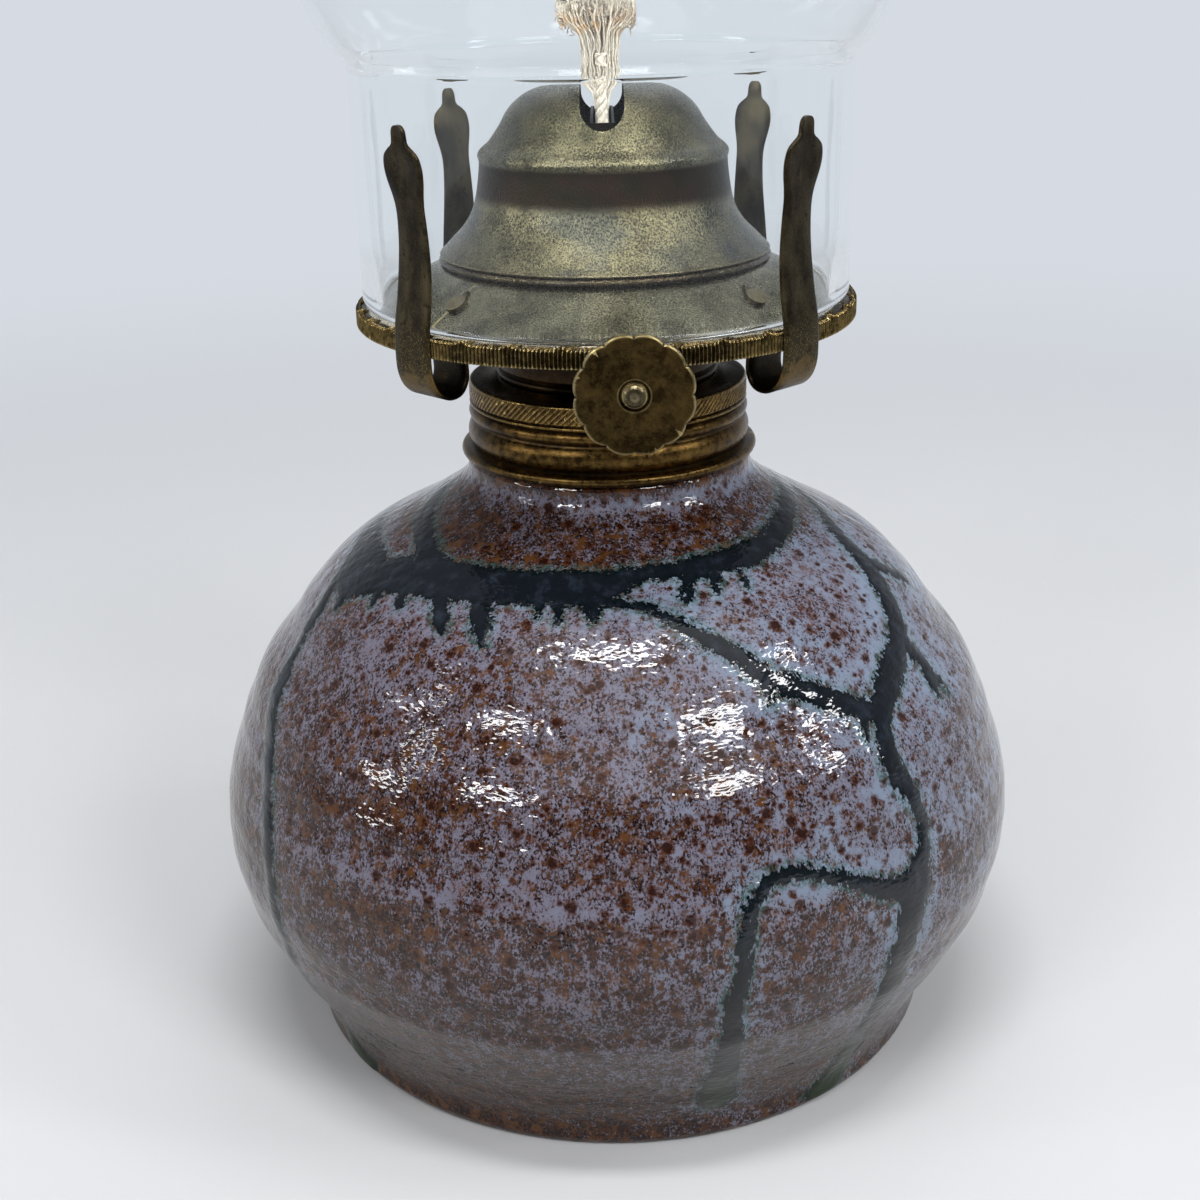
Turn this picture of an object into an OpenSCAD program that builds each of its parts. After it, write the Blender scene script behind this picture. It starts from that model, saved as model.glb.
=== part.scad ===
// Stoneware oil lamp with a flat wick burner and a glass chimney.
// Millimetres, +Z up. The origin is the centre of the foot, on the surface that the lamp stands on.
// The thumb wheel points along -Y.

/* [Font] */
// Largest radius of the thrown body
belly_r = 67.6; // [60:0.1:72]
// Height of the widest point
belly_z = 38; // [34:1:42]
// Radius of the foot
foot_r = 54.3; // [50:0.1:57]
// Height of the ledge that the collar stands on
ledge_z = 98; // [97:0.1:99]
// Thickness of the thrown wall
wall_t = 5; // [4:0.5:6]

/* [Collar] */
// Radius of the collar's knurled band
collar_r = 22.4; // [22.2:0.1:22.8]
// Height of the collar's top edge
collar_top_z = 110.4; // [110:0.1:111]
// Radius of the screw thread's crest on the burner
thread_r = 15.4; // [15:0.1:15.4]

/* [Burner] */
// Outer radius of the gallery's serrated rim
rim_r = 39.65; // [39.3:0.05:39.7]
// Height of the bottom edge of that rim
rim_z = 120.4; // [120.3:0.1:121]
// Depth of the serrated rim
rim_h = 2.7; // [2:0.1:2.8]
// Height of the lip at the foot of the dome
dome_z = 129; // [128.9:0.1:129.4]
// Radius of that lip
dome_r = 26.2; // [26:0.1:26.6]
// Height of the dome's flat top
dome_top_z = 155.8; // [155.5:0.1:157]
// Width of the wick slot in the dome
slot_w = 6.6; // [6.4:0.1:7]
// Width of a spring prong's strip
prong_w = 7.7; // [7:0.1:8]
// Thickness of the brass strip of a prong
prong_t = 0.7; // [0.6:0.05:0.8]

/* [Wick and raiser] */
// Width of the flat wick
wick_w = 25.2; // [24.8:0.1:25.4]
// Thickness of the flat wick
wick_t = 2.3; // [2:0.1:2.4]
// Radius of the thumb wheel, to the crown of a scallop
knob_r = 8.5; // [8:0.1:9]
// Number of scallops round the thumb wheel
knob_lobes = 12; // [10:1:14]
// Distance of the thumb wheel's back face from the lamp's axis
knob_y = 46; // [45:0.5:50]

/* [Chimney] */
// Outer radius of the chimney's straight fitter, 3 inches across
fitter_r = 38.45; // [38.3:0.05:38.5]
// Largest radius of the bulb
bulb_r = 51; // [50:0.5:52]
// Height of the chimney on its own, 8.5 inches
chimney_h = 216; // [214:1:220]
// Thickness of the glass
glass_t = 1.8; // [1.5:0.1:2]

/* [Hidden] */
$fn = 96;
sheet_t = 0.5;
neck_bore_r = 17;
neck_r = 21.2;
ledge_r = 23.2;
lip_z = 107.5;
floor_t = 8;
seat_z = rim_z + 3;
flange_r = 24.2;
bowl_r = 17.9;
bowl_z = 112.2;
shaft_x = 3.6;
shaft_z = 118.6;
shaft_r = 1.2;
bush_r = 1.75;
spur_r = 2.3;
spur_y = [-6, 0, 6];
running = 0.05;
housing_h = 6.4;
housing_l = 20;
tube_in_w = wick_w + 0.7;
tube_in_t = wick_t + 0.5;
tube_wall = 0.4;
tube_top_z = 151;
tube_low_z = 90;
wick_low_z = 24;
glass_low_z = seat_z + 0.2;
mouth_r = 27.2;
vent_x = -4.6;
vent_y = -6;
// Direction of each prong round the lamp, in degrees from +X
prong_turn = [226, 314, 132, 48];
// The gallery's raised deck: radius and height of its outer and its inner edge
deck_low = [35.2, seat_z + 0.4];
deck_high = [27.2, dome_z - 0.6];
deck_tilt = atan2(deck_high[1] - deck_low[1], deck_low[0] - deck_high[0]);
deck_t = 0.6;
// A prong's foot is clinched here under the deck, with this room on each side of its strip
clinch_r = 31;
clinch_z = deck_low[1] + (deck_low[0] - clinch_r) * tan(deck_tilt);
clinch_room = 0.4;
shank_r = 0.8;

clay = "#8a6f64";
brass = "#7c6a3c";
old_brass = "#5d5238";
steel = "#8f8a78";
cotton = "#e9dcc3";
glass = [0.85, 0.9, 0.93, 0.35];

// A smooth curve through points, with steps pieces between each two
function bend(a, b, c, d, t) = 0.5 * ((2 * b) + (c - a) * t + (2 * a - 5 * b + 4 * c - d) * t * t
    + (3 * b - a - 3 * c + d) * t * t * t);
function smooth(p, steps = 4) = concat(
    [for (i = [0 : len(p) - 2], k = [0 : steps - 1])
        bend(p[max(i - 1, 0)], p[i], p[i + 1], p[min(i + 2, len(p) - 1)], k / steps)],
    [p[len(p) - 1]]);
function backwards(p) = [for (i = [len(p) - 1 : -1 : 0]) p[i]];
// The same curve, a distance d to the left of its direction
function unit(v) = v / norm(v);
function beside(p, d) = [for (i = [0 : len(p) - 1])
    let (v = unit(p[min(i + 1, len(p) - 1)] - p[max(i - 1, 0)])) p[i] + d * [-v[1], v[0]]];
// The deck's underside below a point on its top
function under_deck(p) = p - deck_t * [sin(deck_tilt), cos(deck_tilt)];
function ring_arc(cx, cy, r, from, to, n = 8) =
    [for (i = [0 : n]) let (a = from + (to - from) * i / n) [cx + r * cos(a), cy + r * sin(a)]];

module lathe(p) { rotate_extrude() polygon(p); }
module tube(r_out, r_in, low, high) {
    difference() {
        translate([0, 0, low]) cylinder(r = r_out, h = high - low);
        translate([0, 0, low - 1]) cylinder(r = r_in, h = high - low + 2);
    }
}

// Thrown stoneware body: a squat hollow pot with a short neck and a trimmed foot
function font_outer() = smooth([
    [foot_r, 1.4], [foot_r + 0.4, 5], [57.9, 12], [61.7, 18], [64.6, 24], [66.9, 31],
    [belly_r, belly_z], [66.8, 45], [64.7, 52], [62, 59], [58.7, 65], [54.2, 71], [49.5, 77],
    [44.1, 82], [36.9, 86.1], [29.8, 90], [25.6, 93], [ledge_r + 0.4, 95.2], [ledge_r, ledge_z - 0.6]], 3);
function font_inner() = smooth([
    [30, floor_t], [44, floor_t + 0.6], [belly_r - wall_t - 10, 14], [belly_r - wall_t - 3.6, 23],
    [belly_r - wall_t - 0.6, 32], [belly_r - wall_t - 0.2, 42], [belly_r - wall_t - 3.6, 52],
    [belly_r - wall_t - 8.6, 61], [47, 72.5], [39.5, 79.5], [30, 85], [21, 89.4], [neck_bore_r, 93]], 2);
module stoneware_font() {
    color(clay) lathe(concat(
        [[0, 1.6], [43, 1.6], [44.6, 0], [52.9, 0]],
        font_outer(),
        [[ledge_r - 0.4, ledge_z], [neck_r, ledge_z], [neck_r, lip_z - 1.2]],
        ring_arc(neck_r - 1.2, lip_z - 1.2, 1.2, 0, 90, 6),
        ring_arc(neck_bore_r + 1.2, lip_z - 1.2, 1.2, 90, 180, 6),
        backwards(font_inner()),
        [[0, floor_t]]));
}

// Plaster that beds the brass collar on the neck
module collar_cement() { color("gainsboro") tube(collar_r - 0.65, neck_r + 0.05, ledge_z + 0.8, collar_top_z - 0.6); }

// Spun brass collar: knurled band, rolled ridges and a curled bead, with a threaded sleeve inside
module collar() {
    inner_r = collar_r - 0.6;
    sleeve_r = thread_r + 1.2;
    color(brass) lathe(concat(
        [[inner_r, ledge_z + 0.4]],
        ring_arc(collar_r + 0.9, ledge_z + 1, 0.95, 225, 400, 10),
        ring_arc(collar_r - 0.1, ledge_z + 3.5, 1.1, -40, 62, 6),
        ring_arc(collar_r - 0.2, ledge_z + 6.8, 1, -55, 60, 6),
        [[collar_r - 0.1, ledge_z + 8.1], [collar_r + 0.15, ledge_z + 8.5], [collar_r - 0.1, ledge_z + 8.9],
         [collar_r + 0.1, ledge_z + 9.4], [collar_r + 0.1, collar_top_z - 0.5], [collar_r - 0.3, collar_top_z]],
        [[bowl_r + 1.2, collar_top_z], [bowl_r + 0.4, collar_top_z + 0.5], [thread_r + 0.6, collar_top_z + 0.5],
         [thread_r + 0.1, collar_top_z]],
        [for (i = [0 : 7]) [thread_r + (i % 2 == 0 ? 0.1 : 0.6), collar_top_z - 0.8 - i]],
        [[thread_r + 0.1, collar_top_z - 9], [sleeve_r, collar_top_z - 9], [sleeve_r, collar_top_z - 0.6],
         [inner_r, collar_top_z - 0.6]]));
}

// Drawn cup with the screw thread below and the air chamber above, the vents in its flare
module burner_base() {
    low = collar_top_z - 9.2;
    in_r = thread_r - 0.9;
    cup_r = flange_r - sheet_t;
    color(old_brass) difference() {
        lathe(concat(
            [[0, low], [thread_r - 1, low], [thread_r - 0.5, low + 0.6]],
            [for (i = [0 : 7]) [thread_r - (i % 2 == 0 ? 0 : 0.5), low + 1.2 + i]],
            [[thread_r - 0.5, collar_top_z + 0.6], [bowl_r - 0.4, collar_top_z + 0.6]],
            ring_arc(bowl_r - 0.55, collar_top_z + 1.2, 0.55, -90, 90, 6),
            [[bowl_r - 0.5, bowl_z - 0.3], [bowl_r - 0.1, bowl_z + 0.6], [bowl_r - 0.1, 119.6],
             [bowl_r + 0.6, 120.8], [cup_r - 1, 123.4], [cup_r, 124.6], [cup_r, 128.6],
             [cup_r - sheet_t, 128.6], [cup_r - sheet_t, 124.8], [cup_r - 1.4, 123.8], [bowl_r + 0.2, 121.2],
             [bowl_r - 0.6, 119.8], [bowl_r - 0.6, bowl_z + 0.4], [in_r, bowl_z - 0.6], [in_r, low + 0.6],
             [0, low + 0.6]]));
        // opening for the wick tube
        cube([tube_in_t + 2 * tube_wall + 0.1, tube_in_w + 2 * tube_wall + 0.1, 240], center = true);
        // opening for the vent tube
        translate([vent_x, vent_y, low - 1]) cylinder(r = 1.65, h = 4, $fn = 32);
        // hole for the shaft's sleeve
        translate([shaft_x, 0, shaft_z]) rotate([90, 0, 0]) cylinder(r = bush_r, h = 30, $fn = 48);
        // air vents round the flare
        for (i = [0 : 23])
            rotate([0, 0, 15 * i + 7.5]) translate([21, 0, 119]) cylinder(r = 0.9, h = 7, $fn = 24);
    }
}

// Perforated plate that evens out the rising air
module draft_plate() {
    color(old_brass) difference() {
        translate([0, 0, 126.3]) cylinder(r = flange_r - 2 * sheet_t, h = sheet_t);
        translate([0, 0, 126]) cube([tube_in_t + 2 * tube_wall + 0.1, tube_in_w + 2 * tube_wall + 0.1, 4], center = true);
        translate([vent_x, vent_y, 125]) cylinder(r = 1.65, h = 4, $fn = 32);
        for (ring = [[20.5, 24], [16.6, 20]], i = [0 : ring[1] - 1])
            rotate([0, 0, 360 * (i + 0.5) / ring[1]]) translate([ring[0], 0, 125]) cylinder(r = 1, h = 4, $fn = 24);
    }
}

// Pressed dish that carries the chimney: serrated rim, flat seat, raised deck and a flange for the dome
module gallery() {
    top = concat(
        [[rim_r - sheet_t, rim_z], [rim_r, rim_z], [rim_r, rim_z + rim_h - 0.6]],
        ring_arc(rim_r - 0.7, rim_z + rim_h - 0.4, 0.7, 0, 90, 6),
        [[rim_r - 1.2, seat_z - 0.1], [rim_r - 1.6, seat_z], [36.2, seat_z], deck_low,
         deck_high, [dome_r - 0.4, dome_z], [flange_r, dome_z],
         [flange_r, dome_z + 0.9], [flange_r - sheet_t, dome_z + 0.9], [flange_r - sheet_t, dome_z - 0.6],
         under_deck(deck_high), under_deck(deck_low), [36, seat_z - 0.6], [rim_r - 1.4, seat_z - 0.6],
         [rim_r - 0.8, seat_z - 0.9], [rim_r - sheet_t, seat_z - 1.3]]);
    color(brass) difference() {
        lathe(top);
        for (a = prong_turn) at_clinch(a) translate([0, 0, -2]) cylinder(r = shank_r, h = 4, $fn = 32);
    }
}

// Puts what follows at a prong's clinch, square to the sloping deck, with z = 0 on the deck's top
module at_clinch(turn) {
    rotate([0, 0, turn]) translate([clinch_r, 0, clinch_z]) rotate([0, deck_tilt, 0]) children();
}

// Teardrop heads of the four clinches that hold the prongs, with their shanks and their lower heads
module prong_rivets() {
    low = -deck_t - prong_t - 2 * clinch_room - 0.4;
    color(brass) for (a = prong_turn) at_clinch(a) {
        translate([0, 0, low]) cylinder(r = shank_r, h = 0.4 - low, $fn = 32);
        translate([0, 0, low]) cylinder(r = 1.5, h = 0.4, $fn = 32);
        linear_extrude(0.45) polygon([[0.3, 1.5], [0.3, -1.5], [-2.8, 0]]);
        cylinder(r = 1.55, h = 0.6, $fn = 40);
    }
}

// Spring prong, in the plane of its bend: up under the gallery, round below it and up outside the glass
function foot_z(r) = clinch_z + (clinch_r - r) * tan(deck_tilt)
    - (deck_t + clinch_room + prong_t / 2) / cos(deck_tilt);
function prong_middle() = smooth([
    [clinch_r - 2, foot_z(clinch_r - 2)], [clinch_r, foot_z(clinch_r)], [clinch_r + 1.5, foot_z(clinch_r + 1.9)],
    [32.9, 121.8], [32.5, 118.8], [32.3, 116.2], [33.6, 114.2], [36, 113.9], [38.7, 115.2], [rim_r + 0.4, 117.7],
    [rim_r + 0.65, 121], [rim_r + 0.5, 124.4], [fitter_r + 0.95, 129], [fitter_r + 0.48, 134], [fitter_r + 0.5, 138.6],
    [fitter_r + 0.85, 142.4], [fitter_r + 1.5, 146.4], [fitter_r + 1.9, 149.4], [fitter_r + 2.2, 153]], 3);
// Half of the prong's outline, seen from outside: strip, spade and finger tip
function prong_edge() = smooth([
    [prong_w / 2, 112], [prong_w / 2, 119], [prong_w / 2 - 0.1, 126], [3.5, 132], [3.1, 137.5], [2.95, 141], [3.2, 143],
    [3.8, 145.2], [4, 147], [3.6, 148.7], [2.5, 149.7], [1.55, 150.3], [1.3, 151.1], [1.2, 152.2], [0.8, 152.7],
    [0, 152.9]], 3);
module prong(turn) {
    middle = prong_middle();
    edge = prong_edge();
    color(brass) difference() {
        rotate([0, 0, turn]) intersection() {
            rotate([90, 0, 0]) translate([0, 0, -10]) linear_extrude(20)
                polygon(concat(beside(middle, prong_t / 2), backwards(beside(middle, -prong_t / 2))));
            rotate([90, 0, 90]) translate([0, 0, 20]) linear_extrude(30)
                polygon(concat(edge, backwards([for (p = edge) [-p[0], p[1]]])));
        }
        at_clinch(turn) translate([0, 0, -3]) cylinder(r = shank_r + 0.3, h = 3, $fn = 32);
    }
}
module prong_front_left() { prong(prong_turn[0]); }
module prong_front_right() { prong(prong_turn[1]); }
module prong_rear_left() { prong(prong_turn[2]); }
module prong_rear_right() { prong(prong_turn[3]); }

// Stepped brass dome over the wick tube, with the slot that the flame burns through
function dome_outer() = concat(
    ring_arc(dome_r - 0.6, dome_z + 0.6, 0.6, -60, 40, 5),
    [[dome_r - 0.5, dome_z + 1.25], [dome_r - 0.2, dome_z + 1.6], [dome_r - 0.35, dome_z + 1.95]],
    smooth(dome_side(), 3));
// The dome's side and crown above its double lip
function dome_side() = [
    [dome_r - 1, dome_z + 2.5], [23.9, 132.8], [22.1, 134.6], [20.7, 136.8], [19.9, 139.4], [19.45, 142.4], [19.3, 144.4],
    [19.5, 145.5], [19, 146.3], [17.9, 147.2], [16.8, 148.6], [15.7, 150.2], [14.8, 151.7], [13.4, 153.2],
    [11.2, 154.6], [8, 155.5], [4, dome_top_z - 0.05], [0, dome_top_z]];
module deflector_dome() {
    color(steel) difference() {
        lathe(concat(dome_outer(), [[0, dome_top_z - sheet_t]], backwards([for (p = beside(smooth(dome_side(), 3), sheet_t))
            if (p[0] > 0.2) p]), [[flange_r + 0.1, dome_z + 1], [flange_r + 0.1, dome_z]]));
        translate([0, 25, 0]) rotate([90, 0, 0]) linear_extrude(50) {
            translate([0, 150 + slot_w / 2]) circle(r = slot_w / 2, $fn = 48);
            translate([-slot_w / 2, 150 + slot_w / 2]) square([slot_w, 10]);
        }
    }
}

// Flat brass tube that carries the wick, with three windows for the spur wheels
module wick_tube() {
    color(brass) difference() {
        translate([-tube_in_t / 2 - tube_wall, -tube_in_w / 2 - tube_wall, tube_low_z])
            cube([tube_in_t + 2 * tube_wall, tube_in_w + 2 * tube_wall, tube_top_z - tube_low_z]);
        translate([-tube_in_t / 2, -tube_in_w / 2, tube_low_z - 1])
            cube([tube_in_t, tube_in_w, tube_top_z - tube_low_z + 2]);
        for (y = spur_y) translate([0.6, y - 0.8, shaft_z - 2.3]) cube([3, 1.6, 4.6]);
    }
}

// Thin tube that lets vapour out of the font beside the flame
module vent_tube() { color(brass) translate([vent_x, vent_y, 0]) tube(1.6, 1.2, tube_low_z + 6, 146); }

// Box soldered to the wick tube, in which the spur wheels turn
module spur_housing() {
    x0 = tube_in_t / 2 + tube_wall;
    color(brass) difference() {
        translate([x0, -housing_l / 2, shaft_z - housing_h / 2]) cube([5.2, housing_l, housing_h]);
        translate([x0 - 1, -housing_l / 2 + 0.5, shaft_z - housing_h / 2 + 0.5])
            cube([5.7, housing_l - 1, housing_h - 1]);
        translate([shaft_x, housing_l, shaft_z]) rotate([90, 0, 0])
            cylinder(r = shaft_r + running, h = 2 * housing_l, $fn = 48);
    }
}

// Bearing sleeve that brings the shaft out through the wall of the air chamber
module shaft_sleeve() {
    color(old_brass) translate([shaft_x, -housing_l / 2, shaft_z]) rotate([90, 0, 0])
        tube(bush_r, shaft_r + running, 0, 11);
}

// Wick raiser shaft, its outer end peened over the thumb wheel
module raiser_shaft() {
    color(brass) translate([shaft_x, 0, shaft_z]) rotate([90, 0, 0]) {
        translate([0, 0, -housing_l / 2 - 0.8]) cylinder(r = shaft_r, h = knob_y + housing_l / 2 + 2, $fn = 48);
        translate([0, 0, knob_y + 1.1]) rotate_extrude($fn = 48)
            polygon([[0, 0], [1.55, 0], [1.55, 0.35], [1.2, 0.7], [0, 0.85]]);
    }
}

// Star wheel that pushes the wick along
module spur_wheel(y) {
    teeth = 10;
    color(brass) translate([shaft_x, y + 0.4, shaft_z]) rotate([90, 0, 0]) linear_extrude(0.8) difference() {
        polygon([for (i = [0 : 2 * teeth - 1]) let (r = i % 2 == 0 ? spur_r : spur_r - 0.7, a = 180 * i / teeth)
            [r * cos(a), r * sin(a)]]);
        circle(r = shaft_r, $fn = 48);
    }
}
module spur_wheel_front() { spur_wheel(spur_y[0]); }
module spur_wheel_middle() { spur_wheel(spur_y[1]); }
module spur_wheel_rear() { spur_wheel(spur_y[2]); }

// Scalloped brass thumb wheel with a rolled edge and an embossed hub
function scallop(r, depth) = [for (i = [0 : 10 * knob_lobes - 1])
    let (a = 36 * i / knob_lobes, s = r - depth * (1 - pow(abs(sin(a * knob_lobes / 2)), 0.6))) [s * cos(a), s * sin(a)]];
module thumb_wheel() {
    color(brass) translate([shaft_x, -knob_y, shaft_z]) rotate([90, 0, 0]) difference() {
        union() {
            linear_extrude(0.7) polygon(scallop(knob_r, 0.5));
            linear_extrude(1) difference() {
                polygon(scallop(knob_r, 0.5));
                polygon(scallop(knob_r - 0.5, 0.5));
            }
            cylinder(r = 2.6, h = 1.1, $fn = 48);
        }
        translate([0, 0, -1]) cylinder(r = shaft_r, h = 4, $fn = 48);
    }
}

// Flat cotton wick, its unburnt end frayed wide above the dome
module wick() {
    half = wick_t / 2;
    right = smooth([[half, 153], [1.25, 154.6], [1.5, 156.6], [1.7, 158.6], [2, 160.4], [3.2, 161.8], [4.6, 163],
        [5.2, 165], [4.9, 167.6], [3.4, 169.6], [0.6, 170.4]], 3);
    left = smooth([[-half, 152], [-1.9, 153.4], [-2.9, 155.6], [-3.3, 158], [-3.5, 160.2], [-4.5, 161.6], [-6, 163],
        [-6.6, 165.2], [-5.9, 167.8], [-3.4, 169.8], [-0.6, 170.4]], 3);
    color(cotton) translate([0, wick_w / 2, 0]) rotate([90, 0, 0]) linear_extrude(wick_w)
        polygon(concat([[-half, wick_low_z], [half, wick_low_z]], right, backwards(left)));
}

// Clear glass chimney: straight fitter with a thick heel, shoulder, bulb and a narrow mouth
function chimney_outer() = smooth([
    [fitter_r, glass_low_z + 1.4], [fitter_r, 140], [fitter_r, 155], [fitter_r + 0.1, 157.3], [fitter_r + 0.6, 159.4],
    [fitter_r + 2.4, 162.2], [fitter_r + 5.2, 167], [bulb_r - 3, 176.4], [bulb_r - 0.4, 187], [bulb_r, 195],
    [bulb_r - 2, 208], [bulb_r - 8, 226], [bulb_r - 14.5, 248], [bulb_r - 19.2, 272], [mouth_r + 1.8, 296],
    [mouth_r + 0.4, 315], [mouth_r, 326]], 3);
module chimney() {
    top = glass_low_z + chimney_h;
    outer = concat(chimney_outer(), [[mouth_r, 327], [mouth_r, top - glass_t / 2]]);
    color(glass) lathe(concat(
        ring_arc(fitter_r - 1.2, glass_low_z + 1.2, 1.2, -90, 0, 6),
        outer,
        ring_arc(mouth_r - glass_t / 2, top - glass_t / 2, glass_t / 2, 0, 180, 8),
        backwards(beside([for (p = outer) if (p[1] > glass_low_z + 9) p], glass_t)),
        [[fitter_r - glass_t - 0.4, glass_low_z + 4]],
        ring_arc(fitter_r - 1.4, glass_low_z + 1, 1, 180, 270, 6)));
}

stoneware_font();
collar_cement();
collar();
burner_base();
draft_plate();
gallery();
prong_rivets();
prong_front_left();
prong_front_right();
prong_rear_left();
prong_rear_right();
deflector_dome();
wick_tube();
vent_tube();
spur_housing();
shaft_sleeve();
raiser_shaft();
spur_wheel_front();
spur_wheel_middle();
spur_wheel_rear();
thumb_wheel();
wick();
chimney();
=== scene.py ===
import math
import random

import bpy
import numpy as np
from mathutils import Matrix, Vector


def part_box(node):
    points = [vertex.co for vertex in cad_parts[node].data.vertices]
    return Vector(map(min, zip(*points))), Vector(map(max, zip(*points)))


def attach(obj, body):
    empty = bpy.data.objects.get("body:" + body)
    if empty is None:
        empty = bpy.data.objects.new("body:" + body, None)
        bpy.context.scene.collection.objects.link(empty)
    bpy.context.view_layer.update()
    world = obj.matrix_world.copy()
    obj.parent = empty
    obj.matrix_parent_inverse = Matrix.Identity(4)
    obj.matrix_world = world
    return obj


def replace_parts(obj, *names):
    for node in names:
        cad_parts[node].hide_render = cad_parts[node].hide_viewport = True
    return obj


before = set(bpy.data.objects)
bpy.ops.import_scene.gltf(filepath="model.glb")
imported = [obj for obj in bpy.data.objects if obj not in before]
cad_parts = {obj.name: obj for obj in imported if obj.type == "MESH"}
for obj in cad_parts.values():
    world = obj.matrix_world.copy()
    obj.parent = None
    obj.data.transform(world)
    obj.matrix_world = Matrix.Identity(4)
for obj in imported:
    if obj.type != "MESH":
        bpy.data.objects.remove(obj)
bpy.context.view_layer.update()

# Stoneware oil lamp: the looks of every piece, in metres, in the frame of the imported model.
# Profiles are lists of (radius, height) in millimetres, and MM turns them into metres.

MM = 0.001
TURN = 2 * math.pi

# The pot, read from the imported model's own solids
BELLY_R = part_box("stoneware_font")[1].x / MM
LIP_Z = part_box("stoneware_font")[1].z / MM
FOOT_R = 54.3
LEDGE_R = 23.2
LEDGE_Z = 98
NECK_R = 21.2
NECK_BORE_R = 17
WALL = 5

# The brass work
COLLAR_R = 22.4
COLLAR_TOP_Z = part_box("collar")[1].z / MM - 0.5
THREAD_R = 15.4
BOWL_R = 17.9
RIM_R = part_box("gallery")[1].x / MM
RIM_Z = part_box("gallery")[0].z / MM
RIM_H = 2.7
SEAT_Z = RIM_Z + 3
DOME_Z = 129
DOME_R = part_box("deflector_dome")[1].x / MM
DOME_TOP_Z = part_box("deflector_dome")[1].z / MM
FLANGE_R = 24.2
SHEET = 0.5
SLOT_W = 6.6
SHAFT_X = 3.6
SHAFT_Z = 118.6
SHAFT_R = 1.2
KNOB_R = 8.5
KNOB_Y = 46
PRONG_W = 7.7
PRONG_T = 0.7
PRONG_TURN = {"front_left": 226, "front_right": 314, "rear_left": 132, "rear_right": 48}
DECK_LOW = (35.2, SEAT_Z + 0.4)
DECK_HIGH = (27.2, DOME_Z - 0.6)
DECK_TILT = math.atan2(DECK_HIGH[1] - DECK_LOW[1], DECK_LOW[0] - DECK_HIGH[0])
DECK_T = 0.6
CLINCH_R = 31
CLINCH_ROOM = 0.4

# The chimney and the wick
GLASS_LOW_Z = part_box("chimney")[0].z / MM
GLASS_TOP_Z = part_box("chimney")[1].z / MM
FITTER_R = 38.45
BULB_R = 51
MOUTH_R = 27.2
GLASS_T = 1.8
WICK_W = 25.2
WICK_T = 2.3
WICK_LOW_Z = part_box("wick")[0].z / MM
WICK_TOP_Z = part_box("wick")[1].z / MM


# Camera, where the photograph was taken from
def place_camera():
    pitch, yaw, roll = (math.radians(a) for a in (21.481, -0.445, -1.386))
    ahead = Vector((math.sin(yaw) * math.cos(pitch), math.cos(yaw) * math.cos(pitch), -math.sin(pitch)))
    level = Vector((math.cos(yaw), -math.sin(yaw), 0))
    up = level.cross(ahead)
    right = level * math.cos(roll) + up * math.sin(roll)
    top = up * math.cos(roll) - level * math.sin(roll)
    data = bpy.data.cameras.new("photo_camera")
    data.lens = 51
    data.sensor_width = 36
    data.clip_start = 0.01
    camera = bpy.data.objects.new("photo_camera", data)
    bpy.context.scene.collection.objects.link(camera)
    camera.matrix_world = Matrix.Translation((0, -0.27044, 0.17712)) @ Matrix((right, top, -ahead)).transposed().to_4x4()
    bpy.context.scene.camera = camera


# Shader nodes, written as plain sums
def tone(red, green, blue):
    """A colour as a screen shows it, 0 to 255, as the linear colour that a shader takes."""
    shares = [c / 255 for c in (red, green, blue)]
    return tuple(((c + 0.055) / 1.055) ** 2.4 if c > 0.04 else c / 12.92 for c in shares) + (1.0,)


class Value:
    """A number on its way through a material's nodes. Arithmetic on it adds Math nodes."""

    def __init__(self, paint, socket):
        self.paint = paint
        self.socket = socket

    def maths(self, operation, first, second=None):
        return self.paint.node("ShaderNodeMath", {"operation": operation}, {0: first, 1: second})

    def __add__(self, other):
        return self.maths("ADD", self, other)

    def __mul__(self, other):
        return self.maths("MULTIPLY", self, other)

    def __sub__(self, other):
        return self.maths("SUBTRACT", self, other)

    def __rsub__(self, other):
        return self.maths("SUBTRACT", other, self)

    __radd__ = __add__
    __rmul__ = __mul__

    def over(self, low, high):
        """0 below low, 1 above high, with a smooth step between them."""
        inputs = {"Value": self, "From Min": low, "From Max": high, "To Min": 0.0, "To Max": 1.0}
        return self.paint.node("ShaderNodeMapRange", {"interpolation_type": "SMOOTHSTEP"}, inputs)


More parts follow.
